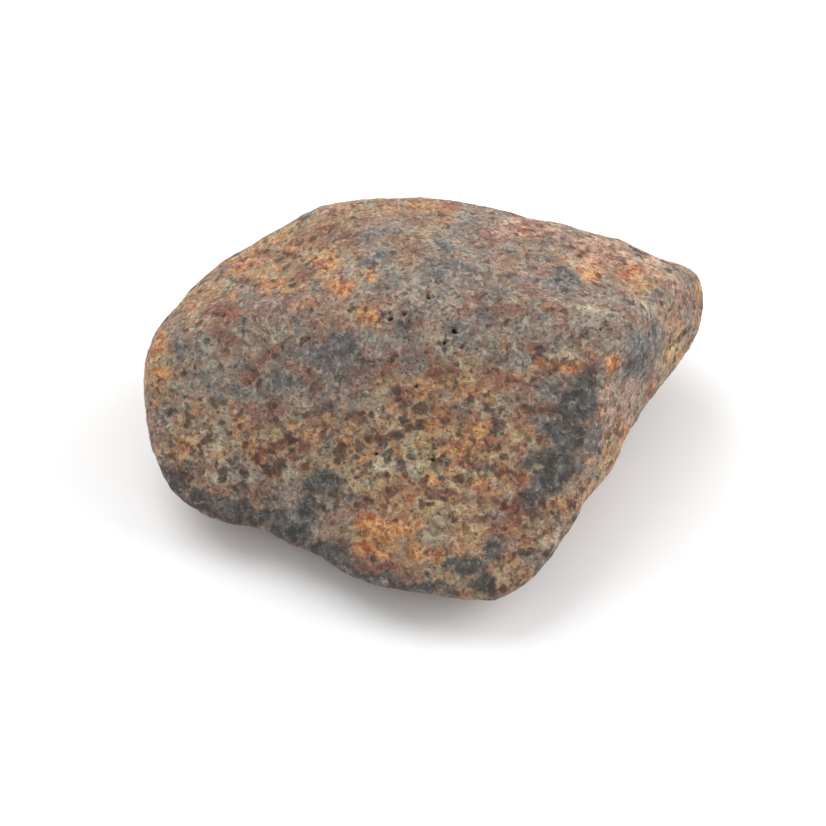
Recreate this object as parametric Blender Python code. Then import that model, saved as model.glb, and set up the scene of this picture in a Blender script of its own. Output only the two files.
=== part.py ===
"""A weathered stony meteorite, about 42 mm long, lying on its own flattened underside.

The stone is one solid.  Its form is a block bounded by worn facets: each facet is a plane that faces a
given way at a given distance from the heart of the stone, and the planes are blended where they meet, so
that every edge comes out rounded.  Shallow hollows, swellings and broad unevenness are then worn into it.

Metres, +Z up.  The origin is on the resting plane, below the middle of the stone.  +X runs along the
stone to its blunt nose, and -Y is the side of the sloping front face.
"""

import math
from typing import NamedTuple

import bmesh
import bpy
from mathutils import Vector, noise

MM = 0.001

# Driving dimensions: the stone's overall box.
LENGTH = 42.0 * MM
DEPTH = 31.5 * MM
HEIGHT = 16.6 * MM

# The facets and hollows below are laid out in mm from the stone's heart, before it is fitted to that box.
EDGE_HARDNESS = 22.0
RESTING_CUT = 0.6

# Cells along each edge of the starting cube, and how often the grid is evened out over the stone.
GRID_CELLS = 26
RELAX_ROUNDS = 14


class Facet(NamedTuple):
    """A worn plane of the stone: the way it faces, in degrees, and its distance from the heart in mm."""

    name: str
    azimuth: float
    elevation: float
    reach: float


class Dint(NamedTuple):
    """A hollow (negative rise) or swelling, centred on a place relative to the heart, all in mm."""

    name: str
    place: tuple
    spread: tuple
    rise: float


class Swell(NamedTuple):
    """Unevenness all over the stone: a bump's height and span in mm, and its place in the noise."""

    name: str
    height: float
    span: float
    shift: tuple


FACETS = (
    Facet("crown", 95, 76, 9.6),
    Facet("crown_right", 38, 70, 9.5),
    Facet("crown_left", 160, 66, 10.3),
    Facet("brow", -92, 66, 7.0),
    Facet("front_left", -114, 47, 7.2),
    Facet("front_right", -80, 51, 7.1),
    Facet("ridge_bevel", -52, 34, 11.2),
    Facet("right_wall", -29, 14, 12.7),
    Facet("right_nose", -2, 0, 24.2),
    Facet("left_wall", 185, 10, 21.2),
    Facet("back_left", 131, 28, 17.3),
    Facet("back", 100, 28, 15.6),
    Facet("back_right", 77, 28, 14.0),
    Facet("front_rim", -104, -6, 16.5),
    Facet("tip_rim", -62, -6, 20.8),
    Facet("left_rim", -134, -8, 20.9),
    Facet("front_keel", -110, -44, 16.0),
    Facet("front_toe", -80, -42, 17.8),
    Facet("right_keel", -29, -42, 12.5),
    Facet("left_keel", 188, -35, 20.8),
    Facet("back_keel", 95, -30, 14.0),
    Facet("back_right_keel", 45, -35, 18.0),
    Facet("back_left_keel", 135, -35, 16.5),
    Facet("belly_left", 178, -72, 11.8),
    Facet("belly_front", -100, -66, 12.4),
    Facet("belly_back", 88, -72, 10.8),
    Facet("underside", 0, -90, 8.9),
)

DINTS = (
    Dint("left_lobe", (-14.8, -10.5, -5.5), (5.8, 4.5, 4.0), -2.3),
    Dint("left_corner", (-19.5, -5.5, -4.5), (2.5, 2.5, 3.0), -0.3),
    Dint("left_heel", (-20.5, 6.5, 1.0), (3.0, 3.5, 3.0), -0.7),
    Dint("rim_notch", (-9.8, -12.4, -4.6), (1.8, 3.0, 3.0), -0.5),
    Dint("front_flute", (-9.0, -9.0, 0.0), (2.2, 4.0, 4.0), -0.4),
    Dint("worn_tip", (9.0, -13.5, 0.0), (3.0, 3.2, 3.2), -0.7),
    Dint("wall_foot", (14.6, -1.6, -3.5), (3.6, 5.0, 4.0), -0.7),
    Dint("nose_shoulder", (18.5, 12.0, 2.0), (4.6, 3.5, 3.0), -1.1),
    Dint("left_shoulder", (-21.0, -2.0, -1.0), (2.5, 2.6, 2.2), -0.35),
    Dint("back_hollow", (-4.0, 15.0, 0.5), (6.0, 4.0, 3.6), -0.9),
    Dint("back_dimple", (9.5, 13.0, -2.5), (3.0, 3.0, 2.6), -0.5),
    Dint("underside_hollow", (-9.0, 1.0, -8.5), (5.0, 4.2, 2.5), -0.8),
)

SWELLS = (
    Swell("broad", 0.40, 6.2, (0.0, 0.0, 0.0)),
    Swell("fine", 0.16, 2.6, (7.0, 3.0, 1.0)),
)


def direction(azimuth, elevation):
    """Unit vector facing a way given in degrees round from +X and up from the horizon."""
    turn, climb = math.radians(azimuth), math.radians(elevation)
    return Vector((math.cos(turn) * math.cos(climb), math.sin(turn) * math.cos(climb), math.sin(climb)))


FACES = [(direction(facet.azimuth, facet.elevation), facet.reach) for facet in FACETS]


def facet_reach(way):
    """Distance in mm from the heart to the blended facets along a unit vector."""
    total = sum(max(way.dot(face) / reach, 0.0) ** EDGE_HARDNESS for face, reach in FACES)
    return total ** (-1.0 / EDGE_HARDNESS)


def wear(point):
    """Height in mm that hollows, swellings and unevenness add at a point measured from the heart."""
    rise = 0.0
    for dint in DINTS:
        steps = zip(point, dint.place, dint.spread)
        gap = sum(((here - there) / spread) ** 2 for here, there, spread in steps)
        rise += dint.rise * math.exp(-gap)
    for swell in SWELLS:
        rise += swell.height * noise.noise(point / swell.span + Vector(swell.shift))
    return rise


def weathered(way):
    """Point in mm, from the heart, where the weathered surface lies along a unit vector."""
    point = way * facet_reach(way)
    return point + way * wear(point)


def build_stone():
    """Mesh of the stone: a finely divided cube pushed out to the weathered facets, fitted to its box."""
    body = bmesh.new()
    bmesh.ops.create_cube(body, size=2.0)
    bmesh.ops.subdivide_edges(body, edges=body.edges[:], cuts=GRID_CELLS - 1, use_grid_fill=True)
    for vertex in body.verts:
        even = Vector(math.tan(part * math.pi / 4) for part in vertex.co)
        way = Vector((even.x * LENGTH, even.y * DEPTH, even.z * HEIGHT)).normalized()
        vertex.co = weathered(way)
    even_out(body)
    rest_flat(body)
    fit_to_box(body)
    bmesh.ops.triangulate(body, faces=body.faces[:], quad_method="SHORT_EDGE")
    mesh = bpy.data.meshes.new("meteorite")
    body.to_mesh(mesh)
    body.free()
    return mesh


def even_out(body):
    """Spread the grid evenly over the stone: relax it, then lay it back on the weathered surface."""
    axes = {"use_axis_x": True, "use_axis_y": True, "use_axis_z": True}
    for _ in range(RELAX_ROUNDS):
        bmesh.ops.smooth_vert(body, verts=body.verts[:], factor=0.5, **axes)
        for vertex in body.verts:
            vertex.co = weathered(vertex.co.normalized())


def rest_flat(body):
    """Wear the lowest points of the underside down to one level, which the stone rests on."""
    level = min(vertex.co.z for vertex in body.verts) + RESTING_CUT
    for vertex in body.verts:
        vertex.co.z = max(vertex.co.z, level)


def fit_to_box(body):
    """Scale and shift the stone so that it fills the driving box, with its base on the resting plane."""
    low = Vector(min(vertex.co[axis] for vertex in body.verts) for axis in range(3))
    high = Vector(max(vertex.co[axis] for vertex in body.verts) for axis in range(3))
    size = high - low
    middle = (low + high) / 2
    for vertex in body.verts:
        vertex.co.x = (vertex.co.x - middle.x) * LENGTH / size.x
        vertex.co.y = (vertex.co.y - middle.y) * DEPTH / size.y
        vertex.co.z = (vertex.co.z - low.z) * HEIGHT / size.z


def stone_material():
    """Dull, rusty brown crust of a stony meteorite weathered on the ground."""
    material = bpy.data.materials.new("weathered_crust")
    material.use_nodes = True
    shader = material.node_tree.nodes["Principled BSDF"]
    shader.inputs["Base Color"].default_value = (0.26, 0.19, 0.15, 1.0)
    shader.inputs["Roughness"].default_value = 0.75
    shader.inputs["Metallic"].default_value = 0.0
    return material


def main():
    """Clear the scene and put the stone in a collection of its own."""
    for old in list(bpy.data.objects):
        bpy.data.objects.remove(old)
    collection = bpy.data.collections.new("meteorite")
    bpy.context.scene.collection.children.link(collection)
    stone = bpy.data.objects.new("meteorite", build_stone())
    stone.data.materials.append(stone_material())
    stone.data.shade_smooth()
    collection.objects.link(stone)


main()
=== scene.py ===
"""Looks of a weathered stony meteorite, about 42 mm long, lying on its own flattened underside.

The skin is a finer copy of the solid stone, with worn unevenness, grit and pinholes modelled on it.  Its
crust is rusty silicate ground, stained in patches with rose, ash, rust, maroon, slate and dark melt, the
melt partly painted shade along the low rims, and speckled with dark grains, laid thickest on the front as
painted shade.  Painted shade darkens the grit's hollows, pores and pinholes, and pale flecks and glint
specks are painted highlights.  Sizes and places on the stone are in mm, Blender's own lengths in metres.
"""

import logging
import math
import random
from dataclasses import dataclass
from enum import Enum
from typing import Optional, Union

import bpy
import numpy as np
from mathutils import Matrix, Vector, noise


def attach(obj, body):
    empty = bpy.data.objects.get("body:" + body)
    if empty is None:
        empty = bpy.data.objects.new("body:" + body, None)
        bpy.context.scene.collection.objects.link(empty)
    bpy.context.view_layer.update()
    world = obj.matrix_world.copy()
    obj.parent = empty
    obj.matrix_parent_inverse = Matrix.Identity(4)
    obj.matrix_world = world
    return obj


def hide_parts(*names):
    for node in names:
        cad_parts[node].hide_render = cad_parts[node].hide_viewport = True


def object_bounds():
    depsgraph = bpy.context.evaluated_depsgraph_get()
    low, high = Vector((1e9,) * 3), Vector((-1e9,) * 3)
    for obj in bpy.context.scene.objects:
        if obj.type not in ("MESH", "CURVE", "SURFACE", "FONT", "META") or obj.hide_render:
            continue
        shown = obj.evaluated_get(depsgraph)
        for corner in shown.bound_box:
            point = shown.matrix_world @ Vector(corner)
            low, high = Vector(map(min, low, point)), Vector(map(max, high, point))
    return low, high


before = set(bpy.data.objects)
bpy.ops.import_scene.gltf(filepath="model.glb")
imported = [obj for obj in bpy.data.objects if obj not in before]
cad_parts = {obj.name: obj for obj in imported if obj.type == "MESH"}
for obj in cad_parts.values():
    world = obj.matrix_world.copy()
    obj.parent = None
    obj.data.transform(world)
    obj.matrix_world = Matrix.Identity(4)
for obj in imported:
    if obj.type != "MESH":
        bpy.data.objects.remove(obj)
cad_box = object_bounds()

MM = 0.001
NODE = "meteorite"
BODY = "root"
# Mesh attribute: how much painted shade each pinhole gets, from its depth.
PIT_SHADE = "pit_shade_amount"
WHITE = (1.0, 1.0, 1.0, 1.0)
NOISE_MIDDLE = 0.5

Socket = bpy.types.NodeSocket
Tree = bpy.types.NodeTree
Colour = Union[Socket, tuple]

log = logging.getLogger("meteorite")


class Stain(Enum):
    """The minerals that colour the crust; each value names the mesh attribute that holds its amount."""

    WARMTH = "warmth_amount"
    ROSE = "rose_amount"
    ASH = "ash_amount"
    RUST = "rust_amount"
    MAROON = "maroon_amount"
    SLATE = "slate_amount"
    # Dark melt; along the low rims it is partly painted shade.
    MELT_AND_RIM_SHADE = "melt_and_rim_shade_amount"
    # Dark grains, laid thickest on the front face, partly as painted shade.
    GRAINS_AND_FRONT_SHADE = "dark_grain_and_front_shade_amount"


@dataclass(frozen=True)
class Patch:
    """A stained place that shows from the front, in the view's pixels.

    Its half width and half height are measured from its column and row.  Its strength is how much stain
    lies at its middle.
    """

    name: str
    column: float
    row: float
    wide: float
    high: float
    strength: float


@dataclass(frozen=True)
class Blotch:
    """A stained place that the front doesn't show: its centre and spread in mm, and its strength."""

    stain: Stain
    place: tuple
    spread: tuple
    strength: float


@dataclass(frozen=True)
class Pit:
    """A pinhole in the crust: its centre, its width and its depth in mm."""

    name: str
    place: tuple
    width: float
    depth: float


# Where the minerals lie on the side that the photograph shows.
PATCHES = {
    Stain.WARMTH: (
        Patch("crown_left", 280, 262, 84, 32, 0.8),
        Patch("shoulder", 200, 300, 40, 26, 0.7),
        Patch("left_end", 158, 365, 18, 45, 0.7),
        Patch("left_front", 200, 440, 50, 40, 0.6),
        Patch("left_middle", 285, 445, 64, 34, 0.7),
        Patch("front", 440, 460, 115, 70, 1.0),
        Patch("front_high", 450, 390, 80, 24, 0.8),
        Patch("toe", 420, 535, 85, 36, 1.0),
        Patch("brow_left", 340, 308, 44, 22, 0.4),
        Patch("nose_crown", 590, 258, 80, 16, 0.6),
        Patch("nose", 655, 285, 40, 20, 0.5),
        Patch("brow_right", 580, 362, 40, 10, 0.7),
        Patch("wall_high", 625, 400, 40, 40, 0.3),
        Patch("wall_low", 560, 530, 50, 60, 0.6),
    ),
    Stain.ROSE: (
        Patch("crown_left", 250, 256, 34, 12, 0.6),
        Patch("back_edge", 532, 226, 36, 13, 0.9),
        Patch("nose_crown", 600, 250, 36, 18, 1.1),
        Patch("nose_crown_right", 642, 266, 26, 14, 0.9),
        Patch("nose", 672, 288, 18, 14, 0.6),
        Patch("front_right", 563, 358, 20, 9, 0.7),
        Patch("wall_high", 618, 405, 20, 30, 0.8),
        Patch("wall_middle", 588, 500, 18, 30, 0.6),
        Patch("wall_low", 552, 560, 18, 24, 0.6),
        Patch("shoulder", 285, 315, 36, 12, 0.4),
    ),
    # Dark melt along the ridge is the crust's own colour; along the low front rim, the notch and the toe it
    # is partly painted shade.
    Stain.MELT_AND_RIM_SHADE: (
        Patch("left_rim", 176, 480, 16, 16, 1.0),
        Patch("left_rim_low", 205, 502, 26, 12, 1.1),
        Patch("left_rim_middle", 250, 515, 28, 14, 1.1),
        Patch("notch_rim", 290, 528, 24, 18, 1.2),
        Patch("notch_foot", 325, 555, 24, 17, 1.3),
        Patch("toe_rim", 365, 578, 32, 10, 1.1),
        Patch("toe_rim_right", 420, 590, 34, 9, 0.9),
        Patch("toe_spot", 466, 568, 20, 14, 1.1),
        Patch("toe_spot_low", 484, 584, 18, 14, 1.1),
        Patch("toe_spot_right", 492, 550, 10, 10, 0.8),
        Patch("ridge_top", 583, 382, 16, 13, 0.9),
        Patch("ridge_high", 578, 408, 22, 18, 1.2),
        Patch("ridge_middle", 566, 436, 21, 19, 1.3),
        Patch("ridge_low", 556, 461, 23, 18, 1.3),
        Patch("ridge_foot", 546, 483, 18, 13, 1.2),
        Patch("ridge_end", 530, 500, 14, 12, 1.0),
        Patch("nose_notch", 634, 370, 17, 10, 1.0),
        Patch("front_seam", 322, 486, 20, 14, 1.0),
        Patch("front_seam_low", 308, 512, 14, 14, 0.9),
        Patch("front_dot", 350, 498, 12, 5, 0.9),
        Patch("left_foot", 198, 482, 18, 7, 0.2),
    ),
    Stain.SLATE: (
        Patch("saddle", 319, 354, 27, 14, 1.2),
        Patch("saddle_right", 342, 345, 18, 12, 1.1),
        Patch("saddle_low", 350, 365, 24, 10, 0.7),
        Patch("front_band", 278, 386, 26, 11, 0.8),
        Patch("front_band_right", 330, 398, 22, 10, 0.6),
        Patch("shoulder", 214, 388, 14, 16, 0.6),
        Patch("left_seam", 180, 350, 6, 16, 0.9),
        Patch("left_dot", 168, 416, 7, 7, 0.8),
        Patch("crown_left", 378, 260, 16, 8, 1.0),
        Patch("crown_spot", 463, 267, 8, 7, 0.9),
        Patch("crown_middle", 448, 262, 26, 36, 0.55),
        Patch("back_spot", 465, 223, 12, 9, 0.8),
        Patch("back_spot_left", 392, 225, 14, 9, 0.5),
        Patch("back_left", 362, 236, 10, 7, 0.5),
        Patch("crown_right", 563, 282, 16, 11, 1.1),
        Patch("brow_dot", 482, 318, 10, 8, 0.9),
        Patch("brow_left", 410, 320, 22, 10, 0.4),
        Patch("pit_field", 456, 335, 12, 12, 0.7),
        Patch("brow_right", 540, 320, 12, 8, 0.5),
        Patch("nose_dot", 656, 328, 7, 9, 1.0),
        Patch("nose_edge", 692, 312, 10, 22, 0.7),
        Patch("nose_side", 644, 346, 20, 18, 0.9),
        Patch("ridge_side", 550, 392, 22, 10, 0.6),
        Patch("ridge_side_low", 546, 425, 14, 14, 0.8),
        Patch("ridge_side_foot", 530, 458, 12, 14, 0.6),
        Patch("wall_high", 594, 440, 12, 22, 0.9),
        Patch("wall_low", 582, 472, 14, 12, 0.8),
        Patch("middle_dot", 330, 440, 9, 7, 0.7),
        Patch("back_edge_left", 300, 215, 22, 5, 0.6),
        Patch("left_edge_high", 222, 270, 10, 5, 0.7),
        Patch("back_edge_right", 515, 210, 20, 4, 0.6),
    ),
    Stain.MAROON: (
        Patch("shoulder_back", 218, 312, 20, 11, 0.9),
        Patch("shoulder_back_right", 262, 312, 16, 10, 0.6),
        Patch("shoulder_low", 225, 335, 18, 8, 0.6),
        Patch("red_dot", 245, 375, 9, 8, 0.9),
        Patch("left_front", 275, 404, 18, 9, 0.7),
        Patch("left_front_low", 275, 452, 14, 6, 0.9),
        Patch("left_front_right", 300, 428, 10, 8, 0.6),
        Patch("centre_left", 405, 395, 18, 9, 0.7),
        Patch("centre", 445, 372, 26, 9, 0.8),
        Patch("centre_right", 500, 378, 18, 10, 0.7),
        Patch("ridge_side", 545, 412, 16, 10, 0.8),
        Patch("ridge_side_low", 520, 445, 10, 9, 0.6),
        Patch("streak", 400, 432, 22, 4, 1.1),
        Patch("streak_right", 445, 445, 20, 5, 0.9),
        Patch("streak_end", 475, 462, 10, 7, 0.6),
        Patch("low_streak", 395, 490, 20, 5, 1.1),
        Patch("low_streak_left", 368, 503, 12, 8, 0.8),
        Patch("low_streak_right", 440, 491, 20, 4, 0.9),
        Patch("ridge_end", 522, 507, 20, 13, 1.0),
        Patch("ridge_end_high", 520, 478, 12, 16, 0.7),
        Patch("toe_left", 345, 552, 12, 10, 0.9),
        Patch("toe_low", 385, 565, 34, 6, 1.0),
        Patch("toe_right", 512, 525, 12, 8, 0.7),
        Patch("wall_end", 650, 392, 10, 10, 0.8),
        Patch("wall_middle", 625, 412, 12, 14, 0.4),
        Patch("back_edge", 535, 228, 22, 7, 0.5),
        Patch("nose_back", 612, 262, 12, 6, 0.6),
        Patch("band_centre", 355, 372, 18, 8, 0.5),
        Patch("brow_left", 354, 332, 14, 10, 0.5),
        Patch("crown_back", 334, 236, 34, 9, 0.6),
        Patch("crown_left", 300, 272, 24, 9, 0.5),
        Patch("middle", 315, 446, 16, 8, 0.6),
        Patch("middle_high", 360, 416, 16, 8, 0.5),
    ),
    Stain.RUST: (
        Patch("crown_left", 240, 266, 26, 12, 0.6),
        Patch("crown_back", 296, 243, 28, 9, 0.6),
        Patch("crown", 322, 262, 16, 14, 0.8),
        Patch("crown_low", 338, 286, 16, 9, 0.7),
        Patch("crown_right", 368, 276, 13, 7, 0.9),
        Patch("crown_left_low", 280, 288, 26, 11, 0.6),
        Patch("shoulder_back", 228, 292, 18, 8, 0.5),
        Patch("red_spot", 368, 315, 10, 8, 1.0),
        Patch("left_end", 160, 342, 11, 12, 0.8),
        Patch("left_end_low", 165, 376, 13, 9, 0.9),
        Patch("left_end_foot", 156, 398, 8, 9, 0.6),
        Patch("left_front", 190, 442, 10, 14, 0.5),
        Patch("left_middle", 240, 425, 14, 8, 0.3),
        Patch("middle_left", 300, 437, 10, 6, 0.7),
        Patch("middle", 350, 442, 14, 7, 0.5),
        Patch("right_blaze", 610, 366, 9, 10, 1.1),
        Patch("right_front", 565, 362, 16, 6, 0.9),
        Patch("right_front_left", 536, 360, 7, 7, 0.8),
        Patch("streak", 430, 427, 16, 6, 1.1),
        Patch("centre_low", 446, 412, 16, 8, 0.7),
        Patch("streak_right", 462, 450, 16, 8, 0.9),
        Patch("low_blaze", 432, 480, 14, 6, 1.1),
        Patch("toe_blaze", 386, 531, 34, 14, 1.4),
        Patch("toe_blaze_low", 372, 550, 26, 8, 0.9),
        Patch("toe_blaze_right", 430, 552, 26, 7, 0.7),
        Patch("toe_right", 475, 525, 24, 14, 0.3),
        Patch("front_low", 484, 486, 20, 12, 0.6),
        Patch("front_right_low", 480, 430, 22, 16, 0.5),
        Patch("back_right", 528, 232, 18, 7, 0.5),
        Patch("nose_crown", 592, 270, 18, 10, 0.7),
        Patch("nose_crown_right", 628, 270, 12, 9, 0.7),
        Patch("nose", 640, 290, 14, 10, 0.5),
        Patch("centre", 470, 385, 20, 8, 0.6),
        Patch("front_right", 500, 470, 24, 16, 0.4),
        Patch("wall_foot", 528, 542, 18, 18, 0.6),
    ),
    Stain.ASH: (
        Patch("front", 398, 466, 26, 10, 1.3),
        Patch("front_left", 372, 480, 14, 7, 0.9),
        Patch("front_right", 420, 452, 12, 6, 0.8),
        Patch("toe", 436, 530, 20, 20, 1.3),
        Patch("toe_high", 445, 508, 24, 9, 0.7),
        Patch("front_low", 486, 474, 20, 14, 0.9),
        Patch("toe_right", 462, 490, 20, 12, 0.5),
        Patch("right_dot", 513, 416, 8, 9, 1.0),
        Patch("right_low", 510, 448, 12, 10, 0.5),
        Patch("crown", 425, 285, 34, 22, 0.4),
        Patch("brow", 446, 345, 14, 9, 0.9),
        Patch("crown_right", 590, 310, 44, 20, 0.4),
        Patch("brow_right", 600, 338, 30, 10, 0.5),
        Patch("shoulder", 222, 372, 16, 10, 0.8),
        Patch("shoulder_right", 250, 345, 16, 9, 0.5),
        Patch("left_foot", 228, 476, 26, 11, 1.1),
        Patch("left_front", 205, 432, 30, 24, 0.7),
        Patch("left_end", 166, 424, 14, 20, 0.7),
        Patch("left_middle", 262, 436, 16, 10, 0.5),
        Patch("brow_middle", 564, 350, 20, 13, 1.0),
        Patch("brow_middle_right", 556, 322, 18, 12, 0.5),
        Patch("shoulder_back", 286, 330, 20, 14, 0.6),
        Patch("wall_foot", 552, 540, 14, 22, 0.6),
        Patch("left_foot_right", 285, 472, 16, 8, 0.5),
        Patch("wall_high", 615, 405, 14, 14, 0.6),
        Patch("wall_middle", 598, 480, 12, 18, 0.4),
        Patch("nose", 648, 305, 14, 10, 0.5),
    ),
    # Dark grains, thick on the front face and thin on the crown: partly the crust's own grains, partly
    # painted shade that darkens the front against the lit crown.
    Stain.GRAINS_AND_FRONT_SHADE: (
        Patch("front", 400, 440, 150, 60, 0.8),
        Patch("left_front", 250, 445, 70, 42, 0.9),
        Patch("right_front", 500, 440, 40, 50, 0.7),
        Patch("toe", 430, 560, 70, 20, 0.3),
        Patch("crown_left", 290, 265, 70, 25, 0.4),
        Patch("crown_right", 570, 300, 80, 40, 0.2),
    ),
}

# What the sides that the front doesn't show carry: darker melt low down, partly painted shade near the floor,
# as along the front's rim.
SIDE_STAINS = (
    Stain.SLATE,
    Stain.MELT_AND_RIM_SHADE,
    Stain.RUST,
    Stain.RUST,
    Stain.MAROON,
    Stain.MAROON,
    Stain.ASH,
    Stain.ROSE,
    Stain.GRAINS_AND_FRONT_SHADE,
    Stain.GRAINS_AND_FRONT_SHADE,
    Stain.WARMTH,
    Stain.WARMTH,
    Stain.WARMTH,
)
# Low on the hidden sides: mostly dark melt, partly painted shade near the floor.
SHADED_RIM_STAINS = (
    Stain.MELT_AND_RIM_SHADE,
    Stain.MELT_AND_RIM_SHADE,
    Stain.MELT_AND_RIM_SHADE,
    Stain.SLATE,
    Stain.MAROON,
    Stain.RUST,
    Stain.GRAINS_AND_FRONT_SHADE,
    Stain.WARMTH,
)

PITS = (
    Pit("brow_left", (-2.7, -0.1, 15.4), 0.36, 0.36),
    Pit("brow_left_second", (-1.7, 0.2, 15.6), 0.33, 0.32),
    Pit("brow_left_third", (-1.4, -0.3, 15.4), 0.30, 0.28),
    Pit("crown", (0.0, 1.3, 16.1), 0.33, 0.32),
    Pit("brow", (1.8, -0.9, 15.0), 0.42, 0.42),
    Pit("brow_low", (1.1, -1.7, 14.7), 0.34, 0.36),
    Pit("brow_right", (2.3, -2.0, 14.5), 0.30, 0.28),
    Pit("front_middle", (-0.9, -4.2, 12.8), 0.30, 0.28),
    Pit("front_low", (0.3, -8.4, 9.8), 0.30, 0.28),
    Pit("front_low_left", (-3.7, -7.6, 9.5), 0.33, 0.32),
    Pit("shoulder", (-14.8, 2.8, 12.6), 0.33, 0.32),
    Pit("saddle", (-8.5, -0.4, 13.7), 0.30, 0.25),
    Pit("crown_far_right", (10.1, 4.2, 14.7), 0.28, 0.22),
    Pit("crown_right", (12.2, -0.3, 14.6), 0.32, 0.26),
)


@dataclass(frozen=True)
class FrontView:
    """The view that the photograph shows: 50 degrees above the horizon, looking along +Y.

    The target and the distance are in metres, the lens and the sensor in mm.
    """

    elevation: float = 50.0
    target: tuple = (-0.001060, -0.002649, 0.007982)
    distance: float = 0.166279
    lens: float = 100.0
    sensor: float = 36.0
    pixels: int = 826

    def back(self) -> Vector:
        """Unit vector from the target towards the camera."""
        climb = math.radians(self.elevation)
        return Vector((0.0, -math.cos(climb), math.sin(climb)))

    def eye(self) -> Vector:
        """Place of the camera."""
        return Vector(self.target) + self.back() * self.distance

    def project(self, places: np.ndarray) -> tuple:
        """Find where places show in the view.

        Args:
            places: Places in metres, one row each.

        Returns:
            Their columns and their rows, in pixels.
        """
        back = self.back()
        up = Vector((0.0, back.z, -back.y))
        offset = places - np.array(self.eye())
        scale = self.lens / self.sensor * self.pixels / -(offset @ np.array(back))
        columns = self.pixels / 2 + offset[:, 0] * scale
        rows = self.pixels / 2 - (offset @ np.array(up)) * scale
        return columns, rows

    def facing(self, places: np.ndarray, normals: np.ndarray) -> np.ndarray:
        """How squarely each place faces the camera, from 1 straight at it to -1 away."""
        sight = np.array(self.eye()) - places
        return (sight * normals).sum(axis=1) / np.linalg.norm(sight, axis=1)


def linear(code: str) -> tuple:
    """Turn an sRGB hex colour into the linear values that Blender's sockets hold.

    Args:
        code: Colour such as "#8a7660".

    Returns:
        Linear red, green, blue and an alpha of 1.
    """
    shares = [int(code[at:at + 2], 16) / 255 for at in (1, 3, 5)]
    light = [share / 12.92 if share <= 0.04045 else ((share + 0.055) / 1.055) ** 2.4 for share in shares]
    return (*light, 1.0)


def add_node(tree: Tree, kind: str, inputs: Optional[dict] = None, **settings: str) -> bpy.types.Node:
    """Add a shader node, set its properties and fill its inputs.

    Args:
        tree: Node tree that receives the node.
        kind: Blender's type name of the node.
        inputs: For each input, by name or number, the socket that feeds it or its fixed value.
        settings: Properties of the node itself.

    Returns:
        The new node.
    """
    node = tree.nodes.new(kind)
    for name, value in settings.items():
        setattr(node, name, value)
    for key, value in (inputs or {}).items():
        if isinstance(value, bpy.types.NodeSocket):
            tree.links.new(value, node.inputs[key])
        else:
            node.inputs[key].default_value = value
    return node


@dataclass(frozen=True)
class Mottle:
    """A pattern of lumps: their span and their place in the noise in mm, and the noise's own settings.

    The pattern fades in between the noise values start and full.  Where a stain steers it, the stain's
    amount raises the noise by lift.  Curl twists the lumps into short curly ridges.
    """

    span: float
    shift: float
    start: float
    full: float
    lift: float = 0.0
    detail: float = 2.0
    roughness: float = 0.5
    curl: float = 0.0


@dataclass(frozen=True)
class GroundLayer:
    """A colour that mottles the ground, and how much of cool and of warm ground it hides."""

    name: str
    tone: str
    mottle: Mottle
    on_cool: float
    on_warm: float


@dataclass(frozen=True)
class StainFinish:
    """How one mineral shows: its dark and its light colour, its pattern, and how much it hides."""

    stain: Stain
    dark: str
    light: str
    mottle: Mottle
    cover: float


@dataclass(frozen=True)
class GrainLayer:
    """Dark grains of one size and colour, and how much they hide."""

    name: str
    tone: str
    mottle: Mottle
    cover: float


@dataclass(frozen=True)
class RoundGrains:
    """Dark round grains in cells of a net: sizes in mm, and radii as shares of a cell.

    Real chondrules are 0.3 to 1 mm across, and these come out at 0.4 to 0.8 mm.  Chance picks the cells
    that hold one, and picks more of them where the amount of grains is high, as on the front face, where
    they are partly painted shade.
    """

    cell: float = 1.15
    nudge_span: float = 0.45
    nudge_reach: float = 0.5
    smallest: float = 0.16
    largest: float = 0.34
    edge: tuple = (-0.05, 0.10)
    chance: tuple = (0.82, 0.92)
    lift: float = 0.45
    cover: float = 0.85


@dataclass(frozen=True)
class PaintedGlints:
    """Painted glint specks: tiny pale dots that stand in for the sparkle of metal grains, in a few cells of a
    net: sizes in mm, and radii as shares of a cell.
    """

    tone: str = "#efe9dd"
    cell: float = 0.7
    edge: tuple = (0.12, 0.04)
    chance: tuple = (0.95, 0.96)
    cover: float = 0.8


@dataclass(frozen=True)
class ShadedFineGrain:
    """Curly grit, darkened where it sinks as painted shade and with pale flecks on top as painted highlights,
    and dark pores between that are partly painted shade; spans are in mm.

    The real crust's grit and pores are about 0.1 mm across, close to one pixel of the render, so they are
    drawn three to four times as coarse.
    """

    grit_span: float = 0.42
    grit_shift: float = 13.0
    grit_detail: float = 1.5
    grit_curl: float = 1.05
    grit_range: tuple = (0.70, 0.30)
    # Painted shade: the factor on the colour where the grit sinks.
    shade: tuple = (0.46, 0.39, 0.36, 1.0)
    # Painted highlights: pale flecks where the grit stands up.
    highlight_fleck: str = "#d8c8b2"
    highlight_fleck_range: tuple = (0.58, 0.74)
    highlight_fleck_cover: float = 0.20
    # Colour of the pores, partly painted shade in their hollows.
    pore_shade: str = "#3f322c"
    pores: Mottle = Mottle(0.30, 19.0, 0.40, 0.28, detail=1.0)
    pore_shade_cover: float = 0.60
    pore_depth: float = 0.5


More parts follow.
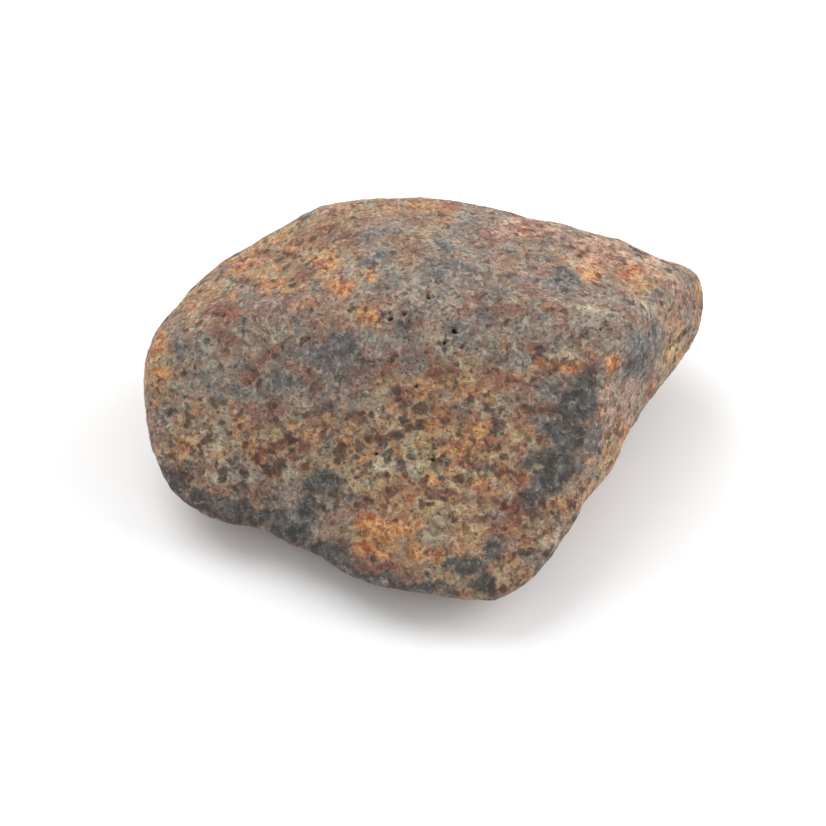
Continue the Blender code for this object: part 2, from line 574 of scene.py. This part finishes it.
@dataclass(frozen=True)
class WeatheredCrust:
    """Weathered chondrite crust: iron-stained silicate, ground dull by wind and soil.

    It gives the eye a dull, grainy, mottled brown with no gloss, and a faint shine only on the dark patches
    where metal-rich melt is left.  Painted shade darkens the grit's hollows, pores and pinholes, and pale
    flecks and glint specks are painted highlights.  Spans, reaches and heights are in mm.
    """

    cool_stone: str = "#978e84"
    cool_khaki: str = "#a09b8c"
    warm_ochre: str = "#c9a374"
    warm_khaki: str = "#c9b78a"
    grain_slate: str = "#4b4745"
    grain_maroon: str = "#5f3e33"
    # Painted shade in the pinholes, full where they sink deep.
    pinhole: str = "#3a2b25"
    pinhole_shade_range: tuple = (0.35, 1.0)
    warp_span: float = 1.3
    warp_reach: float = 0.45
    warmth: Mottle = Mottle(2.2, 23.0, 0.5, 1.4, lift=1.0)
    broad: Mottle = Mottle(5.0, 0.0, 0.40, 0.60)
    tones: Mottle = Mottle(1.0, 83.0, 0.38, 0.62, detail=3.0, curl=0.7)
    roughness_dull: float = 0.86
    roughness_melt: float = 0.6344
    bump_height: float = 0.08
    ground_layers: tuple = (
        GroundLayer("brown", "#8f6657", Mottle(2.2, 31.0, 0.42, 0.72), 0.85, 0.70),
        GroundLayer("grey", "#7f8383", Mottle(2.2, 37.0, 0.44, 0.74), 0.90, 0.45),
        GroundLayer("amber", "#d0925f", Mottle(1.0, 43.0, 0.42, 0.76), 0.28, 0.90),
        GroundLayer("red_brown", "#915e48", Mottle(1.0, 57.0, 0.42, 0.74), 0.60, 0.80),
        GroundLayer("khaki", "#a09b8c", Mottle(1.0, 71.0, 0.46, 0.78), 0.60, 0.50),
    )
    # Laid over one another in this order, the dark melt last; along the low rims the melt is partly painted
    # shade.
    stains: tuple = (
        StainFinish(Stain.ROSE, "#ae8674", "#dcbaa5", Mottle(1.8, 90.0, 0.55, 1.00, 0.5, 3.0), 0.80),
        StainFinish(Stain.ASH, "#9e9985", "#ccc5ab", Mottle(2.0, 110.0, 0.55, 1.00, 0.5, 3.0), 0.75),
        StainFinish(Stain.RUST, "#ba7244", "#e8ae71", Mottle(1.6, 130.0, 0.54, 0.98, 0.5, 3.0), 0.92),
        StainFinish(Stain.MAROON, "#794e41", "#9f6e5c", Mottle(1.3, 150.0, 0.54, 0.96, 0.5, 3.0), 0.90),
        StainFinish(Stain.SLATE, "#606363", "#838484", Mottle(1.5, 170.0, 0.52, 0.94, 0.5, 3.0), 0.82),
        StainFinish(Stain.MELT_AND_RIM_SHADE, "#373836", "#676864", Mottle(0.9, 190.0, 0.52, 0.96, 0.5, 3.0), 0.94),
    )
    grain_layers: tuple = (
        GrainLayer("slate", "#4b4745", Mottle(0.95, 140.0, 0.62, 0.74, 0.09, 1.5, 0.45), 0.75),
        GrainLayer("maroon", "#5f3e33", Mottle(0.95, 151.0, 0.62, 0.74, 0.09, 1.5, 0.45), 0.80),
        GrainLayer("fine_slate", "#4b4745", Mottle(0.475, 163.0, 0.66, 0.78, 0.09, 1.5, 0.45), 0.60),
    )
    round_grains: RoundGrains = RoundGrains()
    # Painted highlights where metal grains would sparkle.
    painted_glints: PaintedGlints = PaintedGlints()
    # Grit with painted shade in its hollows and painted highlights on its tops.
    shaded_fine_grain: ShadedFineGrain = ShadedFineGrain()

    def build(self) -> bpy.types.Material:
        """Make the crust's material.

        Returns:
            The material, which reads Object coordinates and the amounts held on the mesh.
        """
        material = bpy.data.materials.new("weathered_chondrite_crust")
        material.use_nodes = True
        tree = material.node_tree
        place = add_node(tree, "ShaderNodeTexCoord").outputs["Object"]
        warped = self.warp(tree, place)
        colour = self.lay_ground(tree, warped)
        colour, melt = self.lay_stains(tree, warped, colour)
        colour = self.scatter_grains(tree, place, colour)
        colour = self.scatter_round_grains(tree, place, colour)
        colour = self.scatter_painted_glints(tree, place, colour)
        colour, relief = self.lay_shaded_fine_grain(tree, place, colour)
        colour = self.paint_pinhole_shade(tree, colour)
        shader = tree.nodes["Principled BSDF"]
        tree.links.new(colour, shader.inputs["Base Color"])
        inputs = {"Value": melt, "To Min": self.roughness_dull, "To Max": self.roughness_melt}
        dullness = add_node(tree, "ShaderNodeMapRange", inputs)
        tree.links.new(dullness.outputs["Result"], shader.inputs["Roughness"])
        bump = add_node(tree, "ShaderNodeBump", {"Distance": self.bump_height * MM, "Height": relief})
        tree.links.new(bump.outputs["Normal"], shader.inputs["Normal"])
        return material

    def spread(self, tree: Tree, place: Socket, mottle: Mottle, stain: Optional[Stain] = None) -> Socket:
        """Find where a pattern shows.

        Args:
            tree: Material's node tree.
            place: Coordinates in metres.
            mottle: The pattern.
            stain: Mineral whose amount on the mesh raises the pattern's noise.

        Returns:
            How strongly the pattern shows, from 0 to 1.
        """
        offset = (mottle.shift * MM,) * 3
        moved = add_node(tree, "ShaderNodeVectorMath", {0: place, 1: offset}, operation="ADD").outputs[0]
        layers = {"Detail": mottle.detail, "Roughness": mottle.roughness, "Distortion": mottle.curl}
        inputs = {"Vector": moved, "Scale": 1 / (mottle.span * MM), **layers}
        value = add_node(tree, "ShaderNodeTexNoise", inputs).outputs["Fac"]
        if stain:
            amount = add_node(tree, "ShaderNodeAttribute", attribute_name=stain.value).outputs["Fac"]
            inputs = {0: amount, 1: mottle.lift, 2: value}
            value = add_node(tree, "ShaderNodeMath", inputs, operation="MULTIPLY_ADD").outputs[0]
        inputs = {"Value": value, "From Min": mottle.start, "From Max": mottle.full}
        return add_node(tree, "ShaderNodeMapRange", inputs, interpolation_type="SMOOTHSTEP").outputs["Result"]

    def cover(self, tree: Tree, below: Colour, above: Colour, mask: Socket,
              share: Union[Socket, float] = 1.0) -> Socket:
        """Lay a colour over another.

        Args:
            tree: Material's node tree.
            below: Colour that is covered.
            above: Colour that covers it.
            mask: Where the upper colour lies, from 0 to 1.
            share: How much it hides there.

        Returns:
            The resulting colour.
        """
        hidden = add_node(tree, "ShaderNodeMath", {0: mask, 1: share}, operation="MULTIPLY").outputs[0]
        return add_node(tree, "ShaderNodeMix", {0: hidden, 6: below, 7: above}, data_type="RGBA").outputs[2]

    def warp(self, tree: Tree, place: Socket) -> Socket:
        """Push coordinates about by noise, so that no patch keeps a smooth outline.

        Args:
            tree: Material's node tree.
            place: Object coordinates.

        Returns:
            The pushed coordinates.
        """
        inputs = {"Vector": place, "Scale": 1 / (self.warp_span * MM)}
        push = add_node(tree, "ShaderNodeTexNoise", inputs).outputs["Color"]
        inputs = {0: push, 1: (NOISE_MIDDLE,) * 3}
        centred = add_node(tree, "ShaderNodeVectorMath", inputs, operation="SUBTRACT").outputs[0]
        inputs = {0: centred, "Scale": 2 * self.warp_reach * MM}
        short = add_node(tree, "ShaderNodeVectorMath", inputs, operation="SCALE").outputs[0]
        return add_node(tree, "ShaderNodeVectorMath", {0: place, 1: short}, operation="ADD").outputs[0]

    def lay_ground(self, tree: Tree, warped: Socket) -> Socket:
        """Mottle the crust under the stains, greyer where it is cool and more golden where it is warm.

        Args:
            tree: Material's node tree.
            warped: Coordinates pushed about by noise.

        Returns:
            Colour of the ground.
        """
        warmth = self.spread(tree, warped, self.warmth, Stain.WARMTH)
        broad = self.spread(tree, warped, self.broad)
        cool = self.cover(tree, linear(self.cool_stone), linear(self.cool_khaki), broad)
        warm = self.cover(tree, linear(self.warm_ochre), linear(self.warm_khaki), broad)
        colour = self.cover(tree, cool, warm, warmth)
        for layer in self.ground_layers:
            inputs = {"Value": warmth, "To Min": layer.on_cool, "To Max": layer.on_warm}
            share = add_node(tree, "ShaderNodeMapRange", inputs).outputs["Result"]
            mask = self.spread(tree, warped, layer.mottle)
            colour = self.cover(tree, colour, linear(layer.tone), mask, share)
        return colour

    def lay_stains(self, tree: Tree, warped: Socket, colour: Socket) -> tuple:
        """Lay the stains over the ground.

        Args:
            tree: Material's node tree.
            warped: Coordinates pushed about by noise.
            colour: Colour of the ground.

        Returns:
            The stained colour, and where the dark melt and the painted rim shade lie.
        """
        tones = self.spread(tree, warped, self.tones)
        masks = {}
        for finish in self.stains:
            masks[finish.stain] = self.spread(tree, warped, finish.mottle, finish.stain)
            tone = self.cover(tree, linear(finish.dark), linear(finish.light), tones)
            colour = self.cover(tree, colour, tone, masks[finish.stain], finish.cover)
        return colour, masks[Stain.MELT_AND_RIM_SHADE]

    def scatter_grains(self, tree: Tree, place: Socket, colour: Socket) -> Socket:
        """Lay dark grains and finer dots, more of them where the amount of grains is high, as on the front
        face, where they are partly painted shade.

        Args:
            tree: Material's node tree.
            place: Object coordinates.
            colour: Colour of the crust so far.

        Returns:
            The colour with its grains.
        """
        for layer in self.grain_layers:
            mask = self.spread(tree, place, layer.mottle, Stain.GRAINS_AND_FRONT_SHADE)
            colour = self.cover(tree, colour, linear(layer.tone), mask, layer.cover)
        return colour

    def scatter_round_grains(self, tree: Tree, place: Socket, colour: Socket) -> Socket:
        """Lay dark round grains of several sizes, with ragged edges.

        Args:
            tree: Material's node tree.
            place: Object coordinates.
            colour: Colour of the crust so far.

        Returns:
            The colour with its round grains.
        """
        grains = self.round_grains
        inputs = {"Vector": place, "Scale": 1 / (grains.nudge_span * MM)}
        nudge = add_node(tree, "ShaderNodeTexNoise", inputs).outputs["Color"]
        inputs = {0: nudge, "Scale": grains.nudge_reach * MM}
        short = add_node(tree, "ShaderNodeVectorMath", inputs, operation="SCALE").outputs[0]
        shaken = add_node(tree, "ShaderNodeVectorMath", {0: place, 1: short}, operation="ADD").outputs[0]
        cell = add_node(tree, "ShaderNodeTexVoronoi", {"Vector": shaken, "Scale": 1 / (grains.cell * MM)})
        draws = add_node(tree, "ShaderNodeSeparateColor", {"Color": cell.outputs["Color"]}).outputs
        inputs = {"Value": draws[1], "To Min": grains.smallest, "To Max": grains.largest}
        radius = add_node(tree, "ShaderNodeMapRange", inputs).outputs["Result"]
        inputs = {0: radius, 1: cell.outputs["Distance"]}
        inside = add_node(tree, "ShaderNodeMath", inputs, operation="SUBTRACT").outputs[0]
        inputs = {"Value": inside, "From Min": grains.edge[0], "From Max": grains.edge[1]}
        disc = add_node(tree, "ShaderNodeMapRange", inputs, interpolation_type="SMOOTHSTEP").outputs["Result"]
        amount = add_node(tree, "ShaderNodeAttribute", attribute_name=Stain.GRAINS_AND_FRONT_SHADE.value).outputs["Fac"]
        inputs = {0: amount, 1: grains.lift, 2: draws[0]}
        luck = add_node(tree, "ShaderNodeMath", inputs, operation="MULTIPLY_ADD").outputs[0]
        inputs = {"Value": luck, "From Min": grains.chance[0], "From Max": grains.chance[1]}
        chosen = add_node(tree, "ShaderNodeMapRange", inputs, interpolation_type="SMOOTHSTEP")
        inputs = {0: disc, 1: chosen.outputs["Result"]}
        mask = add_node(tree, "ShaderNodeMath", inputs, operation="MULTIPLY").outputs[0]
        tone = self.cover(tree, linear(self.grain_slate), linear(self.grain_maroon), draws[2])
        return self.cover(tree, colour, tone, mask, grains.cover)

    def scatter_painted_glints(self, tree: Tree, place: Socket, colour: Socket) -> Socket:
        """Paint tiny pale specks as highlights where metal grains would sparkle.

        Args:
            tree: Material's node tree.
            place: Object coordinates.
            colour: Colour of the crust so far.

        Returns:
            The colour with its painted glint specks.
        """
        painted_glints = self.painted_glints
        cell = add_node(tree, "ShaderNodeTexVoronoi", {"Vector": place, "Scale": 1 / (painted_glints.cell * MM)})
        inputs = {"Value": cell.outputs["Distance"], "From Min": painted_glints.edge[0], "From Max": painted_glints.edge[1]}
        spot = add_node(tree, "ShaderNodeMapRange", inputs, interpolation_type="SMOOTHSTEP").outputs["Result"]
        draw = add_node(tree, "ShaderNodeSeparateColor", {"Color": cell.outputs["Color"]}).outputs[0]
        inputs = {"Value": draw, "From Min": painted_glints.chance[0], "From Max": painted_glints.chance[1]}
        chosen = add_node(tree, "ShaderNodeMapRange", inputs, interpolation_type="SMOOTHSTEP")
        inputs = {0: spot, 1: chosen.outputs["Result"]}
        mask = add_node(tree, "ShaderNodeMath", inputs, operation="MULTIPLY").outputs[0]
        return self.cover(tree, colour, linear(painted_glints.tone), mask, painted_glints.cover)

    def lay_shaded_fine_grain(self, tree: Tree, place: Socket, colour: Socket) -> tuple:
        """Lay grit, darkened where it sinks as painted shade, with pale flecks as painted highlights where it
        stands up, and dark pores that are partly painted shade.

        Args:
            tree: Material's node tree.
            place: Object coordinates.
            colour: Colour of the crust so far.

        Returns:
            The colour with its fine grain, and the grain's height.
        """
        fine = self.shaded_fine_grain
        offset = (fine.grit_shift * MM,) * 3
        moved = add_node(tree, "ShaderNodeVectorMath", {0: place, 1: offset}, operation="ADD").outputs[0]
        layers = {"Detail": fine.grit_detail, "Distortion": fine.grit_curl}
        inputs = {"Vector": moved, "Scale": 1 / (fine.grit_span * MM), **layers}
        grit = add_node(tree, "ShaderNodeTexNoise", inputs).outputs["Fac"]
        # Painted shade: the colour darkens where the grit, and so the bump, sinks.
        inputs = {"Value": grit, "From Min": fine.grit_range[0], "From Max": fine.grit_range[1]}
        low = add_node(tree, "ShaderNodeMapRange", inputs).outputs["Result"]
        shade = self.cover(tree, WHITE, fine.shade, low)
        inputs = {0: 1.0, 6: colour, 7: shade}
        colour = add_node(tree, "ShaderNodeMix", inputs, data_type="RGBA", blend_type="MULTIPLY").outputs[2]
        # Painted highlights: pale flecks where the grit stands up.
        inputs = {"Value": grit, "From Min": fine.highlight_fleck_range[0], "From Max": fine.highlight_fleck_range[1]}
        high = add_node(tree, "ShaderNodeMapRange", inputs, interpolation_type="SMOOTHSTEP").outputs["Result"]
        colour = self.cover(tree, colour, linear(fine.highlight_fleck), high, fine.highlight_fleck_cover)
        # Pores: sunk in the bump, and darkened, partly as painted shade.
        sunk = self.spread(tree, place, fine.pores)
        colour = self.cover(tree, colour, linear(fine.pore_shade), sunk, fine.pore_shade_cover)
        inputs = {0: sunk, 1: -fine.pore_depth, 2: grit}
        return colour, add_node(tree, "ShaderNodeMath", inputs, operation="MULTIPLY_ADD").outputs[0]

    def paint_pinhole_shade(self, tree: Tree, colour: Socket) -> Socket:
        """Paint shade into the pinholes, darker the deeper they sink.

        Args:
            tree: Material's node tree.
            colour: Colour of the crust so far.

        Returns:
            The finished colour.
        """
        depth = add_node(tree, "ShaderNodeAttribute", attribute_name=PIT_SHADE).outputs["Fac"]
        inputs = {"Value": depth, "From Min": self.pinhole_shade_range[0], "From Max": self.pinhole_shade_range[1]}
        mask = add_node(tree, "ShaderNodeMapRange", inputs, interpolation_type="SMOOTHSTEP").outputs["Result"]
        return self.cover(tree, colour, linear(self.pinhole), mask)


@dataclass
class StoneSkin:
    """The stone's outer skin: a finer copy of the solid, with its relief, pinholes and stains, in mm."""

    view: FrontView = FrontView()
    merge_gap: float = 0.001
    # Two triangles are paired as a quad up to this bend between them and this skew, in degrees.
    pair_bend: float = 40.0
    pair_skew: float = 60.0
    levels: int = 2
    swale_span: float = 2.6
    swale_height: float = 0.10
    lump_span: float = 0.9
    lump_height: float = 0.06
    # The real grit is finer than a pixel of the render, so it is modelled coarser.
    grit_span: float = 0.40
    grit_height: float = 0.05
    # Height above the floor over which the relief grows to its full height.
    calm_height: float = 0.9
    pit_reach: float = 0.6
    pit_cuts: int = 2
    # Pinhole depth in mm at which its painted shade is full.
    pit_shade_depth: float = 0.3
    least_sink: float = 0.005
    rag_span: float = 0.22
    rag_share: float = 0.9
    # Noise of this span pushes the patches about, by some pixels of the view, and the blotches, by some mm.
    stain_span: float = 1.8
    patch_wander: float = 9.0
    blotch_wander: float = 0.8
    # Where in the noise the three parts of that push are read.
    drift_shifts: tuple = ((9.3, -1.5, -8.0), (0.0, 0.0, 0.0), (6.3, 0.2, -2.7))
    # A patch has soft edges, and fades out where the skin turns away from the front by this much.
    patch_falloff: float = 1.5
    patch_wrap: float = 0.4
    hidden_facing: float = 0.1
    hidden_pits: int = 22
    hidden_pit_widths: tuple = (0.3, 0.5)
    hidden_pit_depths: tuple = (0.25, 0.4)
    hidden_blotches: int = 170
    blotch_spreads: tuple = (1.0, 2.6)
    blotch_strengths: tuple = (0.6, 1.2)
    # Height in mm below which the hidden sides take the rim's dark melt and painted shade.
    shaded_rim_height: float = 4.0
    broad_reach: float = 3.0
    seed: int = 11

    def build(self) -> bpy.types.Object:
        """Make the skin, dress it and hang it on the frame.

        Returns:
            The finished skin.
        """
        skin = self.copy_solid()
        self.refine(skin)
        chance = random.Random(self.seed)
        pits = PITS + self.scatter_pits(skin, chance)
        self.divide_round_pits(skin, pits)
        self.weigh(skin, pits)
        self.roughen(skin)
        self.rest(skin)
        self.stain(skin, chance)
        skin.data.materials.clear()
        skin.data.materials.append(WeatheredCrust().build())
        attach(skin, BODY)
        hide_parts(NODE)
        return skin

    def copy_solid(self) -> bpy.types.Object:
        """Copy the solid's mesh, merge its loose triangles and pair them up as quads.

        Returns:
            The copy, selected and active.
        """
        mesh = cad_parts[NODE].data.copy()
        mesh.name = "stone_skin"
        skin = bpy.data.objects.new("stone_skin", mesh)
        bpy.context.scene.collection.objects.link(skin)
        bpy.ops.object.select_all(action="DESELECT")
        skin.select_set(True)
        bpy.context.view_layer.objects.active = skin
        bpy.ops.object.mode_set(mode="EDIT")
        bpy.ops.mesh.select_all(action="SELECT")
        bpy.ops.mesh.remove_doubles(threshold=self.merge_gap * MM)
        bend, skew = math.radians(self.pair_bend), math.radians(self.pair_skew)
        bpy.ops.mesh.tris_convert_to_quads(face_threshold=bend, shape_threshold=skew)
        bpy.ops.object.mode_set(mode="OBJECT")
        return skin

    def refine(self, skin: bpy.types.Object) -> None:
        """Round the solid's facets with a subdivision surface.

        Args:
            skin: The stone's skin.
        """
        finer = skin.modifiers.new("finer", "SUBSURF")
        finer.levels = self.levels
        finer.render_levels = self.levels
        bpy.ops.object.modifier_apply(modifier=finer.name)
        bpy.ops.object.shade_smooth()

    def places(self, skin: bpy.types.Object) -> np.ndarray:
        """Read the places of the skin's vertices.

        Args:
            skin: The stone's skin.

        Returns:
            Places in mm, one row each.
        """
        flat = np.empty(len(skin.data.vertices) * 3)
        skin.data.vertices.foreach_get("co", flat)
        return flat.reshape(-1, 3) / MM

    def hidden_places(self, skin: bpy.types.Object, chance: random.Random, count: int) -> list:
        """Pick places on the sides that face away from the front.

        Args:
            skin: The stone's skin.
            chance: Seeded source of randomness.
            count: How many places to pick.

        Returns:
            Places in mm.
        """
        front = self.view.back()
        behind = [v.co / MM for v in skin.data.vertices if v.normal.dot(front) < self.hidden_facing]
        return chance.sample(behind, count)

    def scatter_pits(self, skin: bpy.types.Object, chance: random.Random) -> tuple:
        """Pick pinholes for the sides that the front doesn't show.

        Args:
            skin: The stone's skin.
            chance: Seeded source of randomness.

        Returns:
            The pinholes.
        """
        pits = []
        for spot in self.hidden_places(skin, chance, self.hidden_pits):
            width = chance.uniform(*self.hidden_pit_widths)
            pits.append(Pit("hidden", tuple(spot), width, chance.uniform(*self.hidden_pit_depths)))
        return tuple(pits)

    def scatter_blotches(self, skin: bpy.types.Object, chance: random.Random) -> list:
        """Pick stains for the sides that the front doesn't show.

        Args:
            skin: The stone's skin.
            chance: Seeded source of randomness.

        Returns:
            The blotches.
        """
        blotches = []
        for spot in self.hidden_places(skin, chance, self.hidden_blotches):
            kind = chance.choice(SHADED_RIM_STAINS if spot.z < self.shaded_rim_height else SIDE_STAINS)
            reach = self.broad_reach if kind in (Stain.WARMTH, Stain.GRAINS_AND_FRONT_SHADE) else 1.0
            spread = tuple(chance.uniform(*self.blotch_spreads) * reach for _ in range(3))
            blotches.append(Blotch(kind, tuple(spot), spread, chance.uniform(*self.blotch_strengths)))
        return blotches

    def divide_round_pits(self, skin: bpy.types.Object, pits: tuple) -> None:
        """Split the faces round each pinhole, so that it is sunk in a fine mesh.

        Args:
            skin: The stone's skin.
            pits: The pinholes.
        """
        places = self.places(skin)
        near = np.zeros(len(places), bool)
        for pit in pits:
            near |= np.linalg.norm(places - np.array(pit.place), axis=1) < self.pit_reach
        bpy.ops.object.mode_set(mode="EDIT")
        bpy.ops.mesh.select_all(action="DESELECT")
        bpy.ops.object.mode_set(mode="OBJECT")
        for face in skin.data.polygons:
            face.select = any(near[number] for number in face.vertices)
        bpy.ops.object.mode_set(mode="EDIT")
        bpy.ops.mesh.subdivide(number_cuts=self.pit_cuts, smoothness=0.0)
        bpy.ops.object.mode_set(mode="OBJECT")

    def weigh(self, skin: bpy.types.Object, pits: tuple) -> None:
        """Write the weights that hold the relief back near the floor and sink the pinholes.

        Args:
            skin: The stone's skin.
            pits: The pinholes.
        """
        places = self.places(skin)
        relief = skin.vertex_groups.new(name="relief")
        sink = skin.vertex_groups.new(name="pits")
        depth = np.zeros(len(places))
        rag = np.array([noise.noise(Vector(place) / self.rag_span) for place in places])
        for pit in pits:
            gap = np.linalg.norm(places - np.array(pit.place), axis=1) * (1.0 + self.rag_share * rag)
            depth = np.maximum(depth, pit.depth * np.exp(-(gap / (pit.width / 2)) ** 2))
        calm = np.clip(places[:, 2] / self.calm_height, 0.0, 1.0)
        for number in range(len(places)):
            relief.add([number], float(calm[number]), "REPLACE")
            if depth[number] > self.least_sink:
                sink.add([number], float(depth[number]), "REPLACE")
        # Painted shade for the pinholes, by their depth.
        layer = skin.data.attributes.new(PIT_SHADE, "FLOAT", "POINT")
        layer.data.foreach_set("value", depth / self.pit_shade_depth)

    def roughen(self, skin: bpy.types.Object) -> None:
        """Raise the relief along the skin's normals, from broad to fine, and sink the pinholes.

        Args:
            skin: The stone's skin.
        """
        grades = (
            ("swales", self.swale_span, self.swale_height),
            ("lumps", self.lump_span, self.lump_height),
            ("grit", self.grit_span, self.grit_height),
        )
        for name, span, height in grades:
            texture = bpy.data.textures.new(name, "CLOUDS")
            texture.noise_scale = span * MM
            texture.noise_depth = 1
            push = skin.modifiers.new(name, "DISPLACE")
            push.texture = texture
            push.texture_coords = "LOCAL"
            push.vertex_group = "relief"
            push.mid_level = NOISE_MIDDLE
            push.strength = 2 * height * MM
            bpy.ops.object.modifier_apply(modifier=push.name)
        sink = skin.modifiers.new("pinholes", "DISPLACE")
        sink.vertex_group = "pits"
        sink.mid_level = 0.0
        sink.strength = -1 * MM
        bpy.ops.object.modifier_apply(modifier=sink.name)

    def rest(self, skin: bpy.types.Object) -> None:
        """Fit the skin to the solid's box again and flatten what would sink into the floor.

        Args:
            skin: The stone's skin.
        """
        low, high = cad_box
        places = self.places(skin) * MM
        base, top = places.min(axis=0), places.max(axis=0)
        scale = [(high[axis] - low[axis]) / (top[axis] - base[axis]) for axis in range(3)]
        fit = Matrix.Translation(low) @ Matrix.Diagonal((*scale, 1.0)) @ Matrix.Translation(-Vector(base))
        skin.data.transform(fit)
        for vertex in skin.data.vertices:
            vertex.co.z = max(vertex.co.z, 0.0)

    def drift(self, place: np.ndarray) -> list:
        """Push of the stains at a place in mm, in three parts."""
        # Blender's noise_vector changes from run to run, and its plain noise doesn't.
        return [noise.noise(Vector(place) / self.stain_span + Vector(shift)) for shift in self.drift_shifts]

    def stain(self, skin: bpy.types.Object, chance: random.Random) -> None:
        """Write how much of each stain every vertex carries.

        Args:
            skin: The stone's skin.
            chance: Seeded source of randomness.
        """
        blotches = self.scatter_blotches(skin, chance)
        places = self.places(skin)
        normals = np.array([vertex.normal for vertex in skin.data.vertices])
        wander = np.array([self.drift(place) for place in places])
        columns, rows = self.view.project(places * MM)
        columns += wander[:, 0] * self.patch_wander
        rows += wander[:, 1] * self.patch_wander
        shown = np.clip(1.0 + self.view.facing(places * MM, normals) / self.patch_wrap, 0.0, 1.0)
        places = places + wander * self.blotch_wander
        for stain in Stain:
            amount = np.zeros(len(places))
            for patch in PATCHES[stain]:
                gap = ((columns - patch.column) / patch.wide) ** 2 + ((rows - patch.row) / patch.high) ** 2
                amount = np.maximum(amount, shown * patch.strength * np.exp(-gap ** self.patch_falloff))
            for blotch in blotches:
                if blotch.stain is stain:
                    gap = (((places - np.array(blotch.place)) / np.array(blotch.spread)) ** 2).sum(axis=1)
                    amount = np.maximum(amount, blotch.strength * np.exp(-gap))
            layer = skin.data.attributes.new(stain.value, "FLOAT", "POINT")
            layer.data.foreach_set("value", amount)


@dataclass(frozen=True)
class Softbox:
    """A large square lamp that faces the stone: its place and side in metres, and its power in watts."""

    name: str
    place: tuple
    side: float
    watts: float


@dataclass(frozen=True)
class MattPaper:
    """Matt white paper: it gives the eye a clean pale ground with no gloss."""

    white: str = "#f8f8f8"
    roughness: float = 0.9

    def build(self) -> bpy.types.Material:
        """Make the paper's material.

        Returns:
            The material.
        """
        material = bpy.data.materials.new("matt_white_paper")
        material.use_nodes = True
        shader = material.node_tree.nodes["Principled BSDF"]
        shader.inputs["Base Color"].default_value = linear(self.white)
        shader.inputs["Roughness"].default_value = self.roughness
        return material


@dataclass
class Studio:
    """Pale floor, soft light and the camera, in metres."""

    view: FrontView = FrontView()
    floor_size: float = 3.0
    floor_drop: float = 0.00002
    lamps: tuple = (
        Softbox("key", (-0.26, 0.32, 0.50), 0.5, 2.6),
        Softbox("side", (0.46, 0.14, 0.28), 0.4, 1.9),
    )
    fill_strength: float = 0.675
    nearest: float = 0.01

    def build(self) -> None:
        """Make the floor, the lights and the camera."""
        self.lay_floor()
        self.light()
        self.aim_camera()
        bpy.context.scene.view_settings.view_transform = "Standard"

    def lay_floor(self) -> None:
        """Lay the pale floor just under the stone."""
        bpy.ops.object.select_all(action="DESELECT")
        bpy.ops.mesh.primitive_plane_add(size=self.floor_size, location=(0.0, 0.0, -self.floor_drop))
        floor = bpy.context.active_object
        floor.name = "floor"
        floor.data.materials.append(MattPaper().build())

    def light(self) -> None:
        """Hang large soft lamps behind and beside the stone, in an evenly lit white room."""
        for softbox in self.lamps:
            lamp = bpy.data.lights.new(softbox.name, "AREA")
            lamp.shape = "SQUARE"
            lamp.size = softbox.side
            lamp.energy = softbox.watts
            holder = bpy.data.objects.new(softbox.name, lamp)
            holder.location = softbox.place
            holder.rotation_euler = Vector(softbox.place).to_track_quat("Z", "Y").to_euler()
            bpy.context.scene.collection.objects.link(holder)
        world = bpy.data.worlds.new("white_room")
        world.use_nodes = True
        room = world.node_tree.nodes["Background"]
        room.inputs["Color"].default_value = WHITE
        room.inputs["Strength"].default_value = self.fill_strength
        bpy.context.scene.world = world

    def aim_camera(self) -> None:
        """Set the camera at the photograph's angle, in front of the stone."""
        lens = bpy.data.cameras.new("camera")
        lens.lens = self.view.lens
        lens.sensor_width = self.view.sensor
        lens.clip_start = self.nearest
        camera = bpy.data.objects.new("camera", lens)
        camera.location = self.view.eye()
        camera.rotation_euler = self.view.back().to_track_quat("Z", "Y").to_euler()
        bpy.context.scene.collection.objects.link(camera)
        bpy.context.scene.camera = camera


def main() -> None:
    """Build the stone's skin and its studio."""
    logging.basicConfig(level=logging.INFO, format="%(name)s: %(message)s")
    skin = StoneSkin().build()
    log.info("%s: %d vertices, %d faces", skin.name, len(skin.data.vertices), len(skin.data.polygons))
    Studio().build()
    log.info("studio: floor, soft light and camera")


if __name__ == "__main__":
    main()
